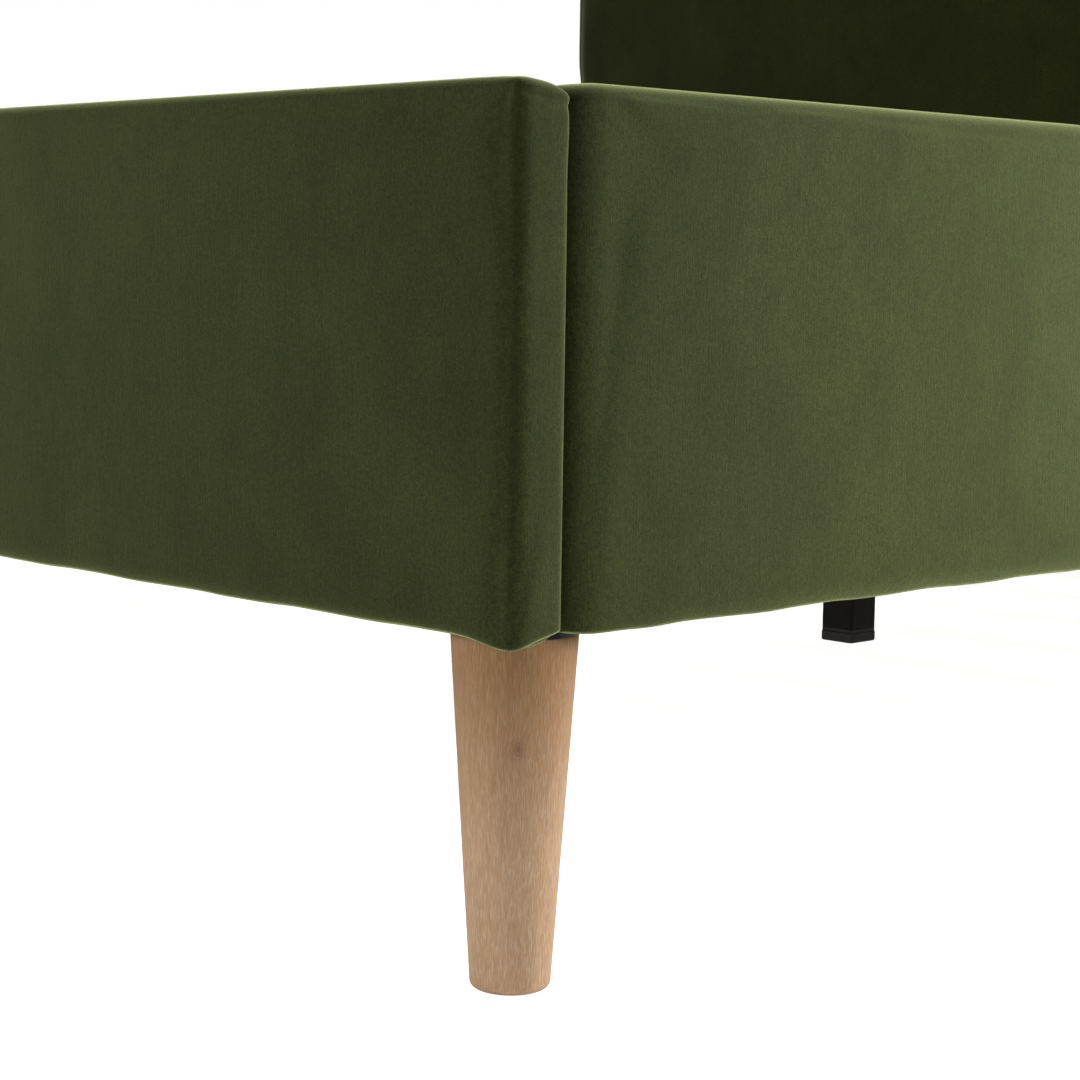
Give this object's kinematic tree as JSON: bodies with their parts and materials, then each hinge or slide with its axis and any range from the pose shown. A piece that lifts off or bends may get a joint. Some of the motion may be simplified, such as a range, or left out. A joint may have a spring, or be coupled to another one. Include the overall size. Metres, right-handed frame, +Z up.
{
  "type": "upholstered headboard bed",
  "caption": "King-size bed with velvet-padded headboard, side rails and footboard on tapered wooden legs, with a slatted deck on steel beams and black support legs.",
  "frame": {"origin": "on the floor, under the centre of the bed's outline", "axes": "+X to the right as seen from the foot end, +Y from the foot end to the headboard, +Z up"},
  "size_m": [2.036, 2.16, 1.1],
  "materials": {
    "velvet": "olive velvet with a crushed nap",
    "foam": "open-cell upholstery foam",
    "black_lining": "non-woven black lining cloth",
    "limed_wood": "limed hardwood, satin lacquer",
    "slat_wood": "planed softwood, unfinished",
    "webbing": "woven polyester webbing",
    "black_steel": "satin black powder coat",
    "zinc_steel": "zinc-plated steel",
    "black_plastic": "moulded black plastic",
    "plywood": "poplar plywood",
    "frame_timber": "sawn pine"
  },
  "bodies": {
    "root": {"beam_hangers": "black_steel", "corner_blocks": "frame_timber", "corner_bolts": "zinc_steel", "corner_brackets": "black_steel", "footboard_board": "plywood", "footboard_cover": "velvet", "footboard_foam": "foam", "footboard_lining": "black_lining", "front_left_leg": "limed_wood", "front_right_leg": "limed_wood", "headboard_back_cloth": "black_lining", "headboard_base_rail": "frame_timber", "headboard_bottom_rail": "frame_timber", "headboard_cover": "velvet", "headboard_foam": "foam", "headboard_left_post": "frame_timber", "headboard_mid_rail": "frame_timber", "headboard_panel": "plywood", "headboard_right_post": "frame_timber", "headboard_top_rail": "frame_timber", "left_beam": "black_steel", "left_rail_board": "plywood", "left_rail_cover": "velvet", "left_rail_foam": "foam", "left_rail_lining": "black_lining", "left_slat_ledge": "frame_timber", "left_support_leg": "black_steel", "leg_bolts": "zinc_steel", "leg_end_plugs": "black_plastic", "leg_plates": "black_steel", "rear_left_leg": "limed_wood", "rear_right_leg": "limed_wood", "right_beam": "black_steel", "right_rail_board": "plywood", "right_rail_cover": "velvet", "right_rail_foam": "foam", "right_rail_lining": "black_lining", "right_slat_ledge": "frame_timber", "right_support_leg": "black_steel", "slat_01": "slat_wood", "slat_02": "slat_wood", "slat_03": "slat_wood", "slat_04": "slat_wood", "slat_05": "slat_wood", "slat_06": "slat_wood", "slat_07": "slat_wood", "slat_08": "slat_wood", "slat_09": "slat_wood", "slat_10": "slat_wood", "slat_11": "slat_wood", "slat_12": "slat_wood", "slat_13": "slat_wood", "slat_tapes": "webbing", "support_leg_bolts": "zinc_steel", "threaded_inserts": "zinc_steel", "wood_screws": "zinc_steel"},
    "left_foot_pad": {"left_foot_pad": "black_plastic"},
    "left_foot_stud": {"left_foot_stud": "zinc_steel"},
    "right_foot_pad": {"right_foot_pad": "black_plastic"},
    "right_foot_stud": {"right_foot_stud": "zinc_steel"}
  },
  "joints": [
    {"name": "left_pad_slide", "type": "slide", "parent": "root", "child": "left_foot_pad", "axis": [0, 0, -1], "range_m": [0, 0.012]},
    {"name": "left_stud_turn", "type": "hinge", "parent": "left_foot_pad", "child": "left_foot_stud", "pos_m": [-0.3, 0.09, 0.003], "axis": [0, 0, -1], "range_deg": [0, 3456]},
    {"name": "right_pad_slide", "type": "slide", "parent": "root", "child": "right_foot_pad", "axis": [0, 0, -1], "range_m": [0, 0.012]},
    {"name": "right_stud_turn", "type": "hinge", "parent": "right_foot_pad", "child": "right_foot_stud", "pos_m": [0.3, 0.09, 0.003], "axis": [0, 0, -1], "range_deg": [0, 3456]}
  ],
  "couplings": [
    {"joint": "left_stud_turn", "follows": "left_pad_slide", "rad_per_m": 5026.5},
    {"joint": "right_stud_turn", "follows": "right_pad_slide", "rad_per_m": 5026.5}
  ]
}
